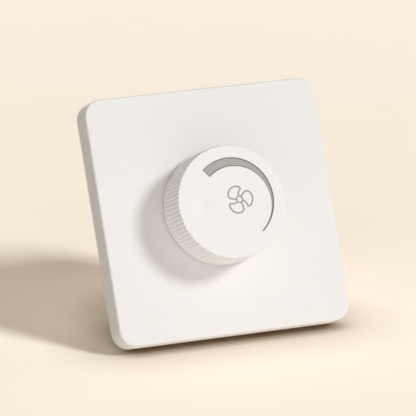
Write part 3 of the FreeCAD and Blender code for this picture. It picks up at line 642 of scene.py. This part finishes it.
def box(x0, x1, y0, y1, z0, z1):
    bm = bmesh.new()
    centre = Vector((x0 + x1, y0 + y1, z0 + z1)) / 2
    scale = Matrix.Diagonal((x1 - x0, y1 - y0, z1 - z0, 1.0))
    bmesh.ops.create_cube(bm, size=1.0, matrix=Matrix.Translation(centre) @ scale)
    return bm


def turned(profile, steps, x, z):
    """A closed solid from a line of (radius, y) points turned about a line along Y."""
    bm = bmesh.new()
    points = [bm.verts.new((radius, y, 0)) for radius, y in profile]
    lines = [bm.edges.new(pair) for pair in zip(points, points[1:])]
    bmesh.ops.spin(bm, geom=points + lines, cent=(0, 0, 0), axis=(0, 1, 0), angle=2 * math.pi, steps=steps,
                   use_merge=True)
    bmesh.ops.remove_doubles(bm, verts=bm.verts, dist=WELD)
    bmesh.ops.holes_fill(bm, edges=bm.edges, sides=0)
    bmesh.ops.translate(bm, verts=bm.verts, vec=(x, 0, z))
    bmesh.ops.recalc_face_normals(bm, faces=bm.faces)
    return bm


def rounded_end(radius, y, round_off, rows, toward):
    """Profile points of a round edge, from the end face to the side.

    toward is -1 where the end faces the room.
    """
    points = []
    for row in range(rows + 1):
        turn = math.pi / 2 * row / rows
        points.append((radius - round_off * (1 - math.sin(turn)),
                       y - toward * round_off * (1 - math.cos(turn))))
    return points


def cover_plate_piece(finish):
    """Hollow plate with a soft front edge, its snap hooks and the ring round the shaft's hole."""
    bm = bmesh.new()
    half = (plate_high.x - plate_low.x) / 2
    bmesh.ops.create_grid(bm, x_segments=1, y_segments=1, size=half, matrix=across_wall(0, 0))
    bmesh.ops.bevel(bm, geom=bm.verts[:], offset=plate_corner, offset_type="OFFSET", affect="VERTICES",
                    segments=plate_corner_segments, profile=0.5, material=-1)
    thicken(bm, plate_low.y)
    front_edges = [edge for edge in bm.edges if all(abs(v.co.y - plate_low.y) < WELD for v in edge.verts)]
    bmesh.ops.bevel(bm, geom=front_edges, offset=plate_edge_round, offset_type="OFFSET", affect="EDGES",
                    segments=plate_edge_segments, profile=0.5, material=-1)
    back = [face for face in bm.faces if all(abs(v.co.y) < WELD for v in face.verts)]
    bmesh.ops.inset_region(bm, faces=back, thickness=plate_side_wall, use_even_offset=True, use_boundary=True)
    hollow = bmesh.ops.extrude_face_region(bm, geom=back)
    moved = new_verts(hollow)
    bmesh.ops.delete(bm, geom=back, context="FACES_KEEP_BOUNDARY")
    bmesh.ops.translate(bm, verts=moved, vec=(0, plate_low.y + plate_front_wall, 0))
    bmesh.ops.recalc_face_normals(bm, faces=bm.faces)
    made = solid_object(bm, "front_cover")
    inside_y = plate_low.y + plate_front_wall
    collar = disc(cover_hole_radius + cover_collar_wall, cover_hole_steps, 0, knob_axis_z,
                  inside_y - cover_collar_sink)
    combine(made, thicken(collar, cover_collar_sink + cover_collar_height), "UNION")
    hole = disc(cover_hole_radius, cover_hole_steps, 0, knob_axis_z, plate_low.y - cutter_reach)
    combine(made, thicken(hole, cover_hole_run), "DIFFERENCE")
    wall_z = half - plate_side_wall
    for side_x in (-1, 1):
        for side_z in (-1, 1):
            bm = bmesh.new()
            corners = ((-hook_from_wall, wall_z + hook_root), (-hook_from_wall, wall_z),
                       (-hook_from_wall - hook_height / 2, wall_z - hook_reach),
                       (-hook_from_wall - hook_height, wall_z - hook_reach),
                       (-hook_from_wall - hook_height, wall_z + hook_root))
            start = side_x * hook_spacing / 2 - hook_width / 2
            bm.faces.new([bm.verts.new((start, y, side_z * z)) for y, z in corners])
            run = bmesh.ops.extrude_face_region(bm, geom=bm.faces[:], use_keep_orig=True)
            bmesh.ops.translate(bm, verts=new_verts(run), vec=(hook_width, 0, 0))
            bmesh.ops.recalc_face_normals(bm, faces=bm.faces)
            combine(made, bm, "UNION")
    complete(made, finish, "wall_unit", "cover_plate")


def knob_profile():
    """(radius, y) from the flat face over the round edge, down the side, under the flange, into the hub."""
    top_radius = knob_radius - knob_flange_step - knob_draft
    side_top = face_y + knob_round
    points = rounded_end(top_radius, face_y, knob_round, knob_round_rows, -1)
    for row in range(1, rib_rows + 1):
        share = row / rib_rows
        points.append((top_radius + knob_draft * share, side_top + (flange_y - side_top) * share))
    small = knob_flange_round
    corner = knob_flange_corner
    points += [(knob_radius - small, flange_y), (knob_radius - corner, flange_y + corner),
               (knob_radius, flange_y + small), (knob_radius, base_y - small),
               (knob_radius - corner, base_y - corner), (knob_radius - small, base_y)]
    inside = top_radius - rib_depth - knob_side_wall
    ceiling = face_y + knob_top_wall
    points += [(inside, base_y), (inside, ceiling), (hub_radius, ceiling), (hub_radius, base_y),
               (hub_bore_radius, base_y), (hub_bore_radius, ceiling)]
    return points


def shape_ribs(bm):
    """Sinks the drum's side between the crests of its ribs, and lets the ribs run out over the round edge."""
    step = 2 * math.pi / rib_count
    inner = knob_radius - knob_flange_step - knob_draft - knob_round - WELD
    for vert in bm.verts:
        z = vert.co.z - knob_axis_z
        radius = math.hypot(vert.co.x, z)
        if radius < inner or vert.co.y > flange_y + WELD or radius > knob_radius - 0.5 * knob_flange_step:
            continue
        turn = math.atan2(z, vert.co.x) / step
        across = 2 * abs(turn - round(turn))
        rise = min(max((face_y + knob_round - vert.co.y) / knob_round, 0.0), 1.0)
        depth = rib_depth * math.sqrt(1 - rise * rise) * across * across
        scale = (radius - depth) / radius
        vert.co.x *= scale
        vert.co.z = knob_axis_z + z * scale


def polar(radius, degrees):
    return Vector((radius * math.cos(math.radians(degrees)), 0, radius * math.sin(math.radians(degrees))))


def arc_points(start, middle, stop, steps):
    """Points of the arc through three places in the XZ plane, without its last one."""
    a, b = middle - start, stop - start
    d = 2 * (a.x * b.z - a.z * b.x)
    centre = start + Vector(((b.z * a.length_squared - a.z * b.length_squared) / d, 0,
                             (a.x * b.length_squared - b.x * a.length_squared) / d))
    first = start - centre
    angle = math.atan2(first.x, first.z)
    sweep = (math.atan2((stop - centre).x, (stop - centre).z) - angle) % (2 * math.pi)
    passed = (math.atan2((middle - centre).x, (middle - centre).z) - angle) % (2 * math.pi)
    if passed > sweep:
        sweep -= 2 * math.pi
    return [centre + Matrix.Rotation(sweep * i / steps, 3, "Y") @ first for i in range(steps)]


def blade_point(place):
    """A point of the blade, from its share of the reach and its angle."""
    share, angle = place
    return polar(blade_reach * share, angle)


def blade_outline():
    """Inner edge of the line round one fan blade, about the symbol's hub and open toward it."""
    root_front = polar(symbol_hub_radius, blade_root_front)
    root_back = polar(symbol_hub_radius, blade_root_back)
    tip_front = blade_point(blade_tip_front)
    tip_back = blade_point(blade_tip_back)
    heel_front = blade_point(blade_heel_front)
    heel_back = blade_point(blade_heel_back)
    points = arc_points(root_front, blade_point(blade_front_bow), tip_front, symbol_steps)
    points += arc_points(tip_front, blade_point(blade_tip_bow), tip_back, symbol_steps)
    points += arc_points(tip_back, blade_point(blade_rim_bow), heel_front, 2 * symbol_steps)
    points += arc_points(heel_front, blade_point(blade_heel_bow), heel_back, symbol_steps)
    return points + [heel_back, root_back]


def drawn_line(points):
    """A solid one line wide along the outer side of a row of points, down to the floor of the marks."""
    bm = bmesh.new()
    corners = [bm.verts.new(point) for point in points]
    run = [bm.edges.new(pair) for pair in zip(corners, corners[1:])]
    wall = bmesh.ops.extrude_edge_only(bm, edges=run)
    bmesh.ops.translate(bm, verts=new_verts(wall), vec=(0, cutter_reach + mark_depth, 0))
    bmesh.ops.solidify(bm, geom=bm.faces[:], thickness=-symbol_line)
    bmesh.ops.recalc_face_normals(bm, faces=bm.faces)
    return bm


def cut_symbol(made):
    """Line-drawn fan in the knob's face: a ring for its hub and three blades."""
    place = Vector((symbol_offset, face_y - cutter_reach, knob_axis_z + symbol_rise))
    hub = [polar(symbol_hub_radius - symbol_line / 2, 360 * step / hub_steps) + place
           for step in range(hub_steps)]
    combine(made, drawn_line(hub + hub[:1]), "DIFFERENCE")
    for blade in range(blade_count):
        turn = Matrix.Rotation(symbol_turn - 2 * math.pi * blade / blade_count, 3, "Y")
        combine(made, drawn_line([turn @ point + place for point in blade_outline()]), "DIFFERENCE")


def cut_arc(made):
    """Tapered arc: from a wide square end, clockwise to a thin tip."""
    bm = bmesh.new()
    wide = arc_tip_angle + arc_sweep
    shift = Vector((math.cos(arc_tip_angle), 0, math.sin(arc_tip_angle))) * arc_shift
    end = Vector((math.cos(wide), 0, math.sin(wide)))
    along = shift.dot(end)
    inner_end = end * (along + math.sqrt(arc_inner_radius ** 2 - arc_shift ** 2 + along ** 2)) - shift
    inner_sweep = math.atan2(inner_end.z, inner_end.x) - arc_tip_angle
    chains = []
    edges = ((arc_outer_radius, Vector(), arc_sweep), (arc_inner_radius, shift, inner_sweep))
    for radius, centre, sweep in edges:
        first = centre + Vector((math.cos(arc_tip_angle), 0, math.sin(arc_tip_angle))) * radius
        start = bm.verts.new(first)
        known = set(bm.edges)
        bmesh.ops.spin(bm, geom=[start], cent=centre, axis=(0, -1, 0), angle=sweep, steps=arc_steps)
        chains += [edge for edge in bm.edges if edge not in known]
    bmesh.ops.bridge_loops(bm, edges=chains)
    place = (arc_offset_x, face_y - cutter_reach, knob_axis_z + arc_offset_z)
    bmesh.ops.translate(bm, verts=bm.verts, vec=place)
    combine(made, thicken(bm, cutter_reach + mark_depth), "DIFFERENCE")


def cut_dimple(made):
    """Shallow dish for a fingertip, which meets the face without an edge."""
    profile = [(dimple_radius, face_y - cutter_reach)]
    for row in range(dimple_rows + 1):
        share = 1 - row / dimple_rows
        depth = dimple_depth * (1 + math.cos(math.pi * share)) / 2
        profile.append((dimple_radius * share, face_y + dimple_rim_step + depth))
    combine(made, turned(profile, dimple_steps, dimple_offset, knob_axis_z), "DIFFERENCE")


def knob_piece(finish):
    """Ribbed cup on its smooth flange, with the hub and webs inside and the marks in its face."""
    bm = turned(knob_profile(), rib_count * rib_columns, 0, knob_axis_z)
    shape_ribs(bm)
    made = solid_object(bm, "speed_knob")
    ceiling = face_y + knob_top_wall
    inside = knob_radius - knob_flange_step - knob_draft - rib_depth - knob_side_wall
    sink = hub_sink
    centre = Matrix.Translation((0, 0, knob_axis_z))
    for web in range(hub_web_count):
        bm = box(hub_radius - sink, inside + sink, ceiling - sink, ceiling + hub_web_height,
                 -hub_web_wall / 2, hub_web_wall / 2)
        turn = centre @ Matrix.Rotation(2 * math.pi * web / hub_web_count, 4, "Y")
        bmesh.ops.transform(bm, matrix=turn, verts=bm.verts)
        combine(made, bm, "UNION")
    key = box(-hub_bore_radius, hub_bore_radius, ceiling - sink, base_y,
              knob_axis_z - hub_bore_radius - sink, knob_axis_z - hub_flat)
    combine(made, key, "UNION")
    cut_arc(made)
    cut_symbol(made)
    cut_dimple(made)
    complete(made, finish, "dial", "knob")


def thread(core, crest, pitch, start, stop):
    """A helical ridge along Y, from start to stop."""
    bm = bmesh.new()
    root = core - thread_sink
    profile = ((root, start), (crest, start + pitch / 4), (root, start + pitch / 2))
    corners = [bm.verts.new((radius, y, 0)) for radius, y in profile]
    sides = [bm.edges.new(pair) for pair in zip(corners, corners[1:] + corners[:1])]
    steps = int((stop - start - pitch / 2) / pitch * screw_steps)
    bmesh.ops.spin(bm, geom=corners + sides, cent=(0, 0, 0), axis=(0, 1, 0), dvec=(0, pitch / screw_steps, 0),
                   angle=2 * math.pi * steps / screw_steps, steps=steps)
    bmesh.ops.holes_fill(bm, edges=bm.edges, sides=3)
    bmesh.ops.recalc_face_normals(bm, faces=bm.faces)
    return bm


def placed_copies(made, places):
    """Puts a copy of the object's mesh at each (x, y, z) place, all in one mesh."""
    bm = bmesh.new()
    for place in places:
        before = len(bm.verts)
        bm.from_mesh(made.data)
        bmesh.ops.translate(bm, verts=bm.verts[before:], vec=place)
    bm.to_mesh(made.data)
    bm.free()


def tapping_screws(node, name, corners, finish):
    """Pan-head screws with a cross recess, driven from the back, in corners of the node's box."""
    low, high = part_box(node)
    seat = high.y - tapping_head_height
    length = seat - low.y
    straight = tapping_head_straight * tapping_head_height
    profile = [(0, -length), (tapping_point * tapping_core, -length), (tapping_core, tapping_tip - length),
               (tapping_core, 0), (tapping_head_radius, 0)]
    for row in range(tapping_dome_rows + 1):
        turn = math.pi / 2 * row / tapping_dome_rows
        profile.append((tapping_head_radius * math.cos(turn),
                        straight + (tapping_head_height - straight) * math.sin(turn)))
    made = solid_object(turned(profile, screw_steps, 0, 0), name)
    combine(made, thread(tapping_core, tapping_radius, tapping_pitch, tapping_tip / 2 - length, 0), "UNION")
    for reach_x, reach_z in ((recess_reach, recess_width / 2), (recess_width / 2, recess_reach)):
        slot = box(-reach_x, reach_x, tapping_head_height - recess_depth, tapping_head_height + cutter_reach,
                   -reach_z, reach_z)
        combine(made, slot, "DIFFERENCE")
    x, z = high.x - tapping_head_radius, high.z - tapping_head_radius
    placed_copies(made, [(side_x * x, seat, side_z * z) for side_x, side_z in corners])
    complete(made, finish, "wall_unit", node)


def clamp_screw(node, name, finish):
    """Headless slotted screw that presses on the wire in a terminal."""
    low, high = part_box(node)
    radius, length = (high.x - low.x) / 2, high.y - low.y
    profile = [(0, 0), (clamp_core - clamp_chamfer, 0), (clamp_core, clamp_chamfer),
               (clamp_core, length - clamp_chamfer), (clamp_core - clamp_chamfer, length), (0, length)]
    made = solid_object(turned(profile, screw_steps, 0, 0), name)
    combine(made, thread(clamp_core, radius, clamp_pitch, clamp_chamfer, length - clamp_chamfer), "UNION")
    slot = box(-2 * radius, 2 * radius, length - clamp_slot_depth, length + cutter_reach,
               -clamp_slot_width / 2, clamp_slot_width / 2)
    combine(made, slot, "DIFFERENCE")
    placed_copies(made, [((low.x + high.x) / 2, low.y, (low.z + high.z) / 2)])
    complete(made, finish, "wall_unit", node)


def merged_copy(node, name, soften):
    """A welded copy of a node's mesh, with its small edges rounded by the width soften."""
    bm = bmesh.new()
    bm.from_mesh(frame["nodes"][node].data)
    bmesh.ops.remove_doubles(bm, verts=bm.verts, dist=WELD)
    bmesh.ops.dissolve_limit(bm, angle_limit=flat_angle, verts=bm.verts, edges=bm.edges)
    made = solid_object(bm, name)
    edge = made.modifiers.new("edge", "BEVEL")
    edge.width = soften
    edge.segments = 2
    edge.limit_method = "ANGLE"
    edge.angle_limit = soften_angle
    keep_modifiers(made)
    return made


def dress_nodes(finishes):
    """Gives each node that stays its slot's finish."""
    for subpart in frame["record"]["subparts"]:
        node = frame["nodes"][subpart["node"]]
        for slot in node.material_slots:
            slot.material = finishes[subpart["material_slot"]]


def set_camera():
    cam = bpy.data.cameras.new("view")
    cam.sensor_width = sensor_width
    cam.lens = focal_pixels / frame_pixels * sensor_width
    cam.clip_start = camera_near
    cam.clip_end = camera_far
    a, e = view_azimuth, view_elevation
    back = Vector((math.sin(a) * math.cos(e), -math.cos(a) * math.cos(e), math.sin(e)))
    right = (-back).cross(Vector((0, 0, 1))).normalized()
    up = right.cross(-back)
    turned_right = right * math.cos(view_roll) + up * math.sin(view_roll)
    turned_up = up * math.cos(view_roll) - right * math.sin(view_roll)
    place = Matrix((turned_right, turned_up, back)).transposed().to_4x4()
    place.translation = view_target + back * view_distance
    made = bpy.data.objects.new("view", cam)
    made.matrix_world = place
    bpy.context.scene.collection.objects.link(made)
    bpy.context.scene.camera = made


def add_sun(name, direction, strength, softness, tone):
    lamp = bpy.data.lights.new(name, "SUN")
    lamp.energy = strength
    lamp.angle = softness
    lamp.color = tone
    made = bpy.data.objects.new(name, lamp)
    made.matrix_world = direction.to_track_quat("Z", "Y").to_matrix().to_4x4()
    bpy.context.scene.collection.objects.link(made)


def set_world(page):
    """Even room light, and the page behind the part where the camera or a reflection sees past the floor."""
    world = bpy.data.worlds.new("room")
    bpy.context.scene.world = world
    finish = Finish(world)
    path = finish.node("ShaderNodeLightPath").socket.node
    seen = [Signal(finish, path.outputs[name])
            for name in ("Is Camera Ray", "Is Glossy Ray", "Is Transmission Ray")]
    shows = finish.smallest(seen[0] + seen[1] + seen[2], 1.0)
    room = finish.node("ShaderNodeBackground", {"Color": room_tone, "Strength": room_strength})
    sheet = finish.node("ShaderNodeBackground", {"Color": page, "Strength": 1.0})
    mixed = finish.node("ShaderNodeMixShader", {0: shows, 1: room, 2: sheet})
    finish.node("ShaderNodeOutputWorld", {"Surface": mixed})


def lay_floor(page):
    """Plain floor that the part leans on.

    It fades into the page, and is clear from below and to shadow rays. Close to the part, shade is painted
    into the colour that the camera alone sees, from the part's occlusion.
    """
    lean = math.atan2(housing_foot - plate_low.z, housing_high.y)
    bm = bmesh.new()
    place = Matrix.Translation((0, 0, plate_low.z)) @ Matrix.Rotation(lean, 4, "X")
    bmesh.ops.create_grid(bm, x_segments=1, y_segments=1, size=floor_reach, matrix=place)
    floor = solid_object(bm, "floor")
    finish = material("floor")
    x, y, _ = finish.axes()
    away = finish.maths("SQRT", x * x + y * y)
    fade = finish.ramp(away, floor_fade_start, floor_fade_end, 1.0, 0.0)
    geometry = finish.node("ShaderNodeNewGeometry").socket.node
    path = finish.node("ShaderNodeLightPath").socket.node
    shadow_ray = Signal(finish, path.outputs["Is Shadow Ray"])
    below = Signal(finish, geometry.outputs["Backfacing"])
    shows = fade * (1 - shadow_ray) * (1 - below)
    speckle = finish.noise(floor_cloud_scale)
    # Painted shade: the part's occlusion of the floor darkens the colour that camera rays see
    openness = finish.node("ShaderNodeAmbientOcclusion", {"Distance": contact_reach}, out="AO",
                           samples=contact_rays)
    seen = finish.blend(openness ** contact_depth, painted_contact_shade, floor_seen)
    pale = finish.blend(Signal(finish, path.outputs["Is Camera Ray"]), page, seen)
    ground = finish.node("ShaderNodeBsdfDiffuse", {"Color": finish.blend(speckle * floor_cloud, pale, page)})
    clear = finish.node("ShaderNodeBsdfTransparent")
    mixed = finish.node("ShaderNodeMixShader", {0: shows, 1: clear, 2: ground})
    finish.node("ShaderNodeOutputMaterial", {"Surface": mixed})
    floor.data.materials.append(finish.owner)


def main():
    page = colour(251, 240, 225)
    bpy.context.scene.view_settings.view_transform = "Standard"
    set_camera()
    set_world(page)
    add_sun("key", key_direction, key_strength, key_softness, key_tone)
    add_sun("fill", fill_direction, fill_strength, fill_softness, fill_tone)
    add_sun("back", back_direction, back_strength, back_softness, back_tone)
    lay_floor(page)
    finishes = all_finishes()
    dress_nodes(finishes)
    knob_piece(finishes["white_knob"])
    cover_plate_piece(finishes["white_cover"])
    housing = merged_copy("rear_housing", "back_housing", housing_soften)
    complete(housing, finishes["grey_housing"], "wall_unit", "rear_housing")
    mounting = merged_copy("base_frame", "mounting_frame", frame_soften)
    complete(mounting, finishes["white_frame"], "wall_unit", "base_frame")
    tapping_screws("housing_screws", "ear_screws", ear_corners, finishes["zinc_steel"])
    tapping_screws("board_screws", "post_screws", post_corners, finishes["zinc_steel"])
    for side in ("left", "right"):
        clamp_screw("clamp_screw_" + side, "wire_screw_" + side, finishes["zinc_steel"])


main()
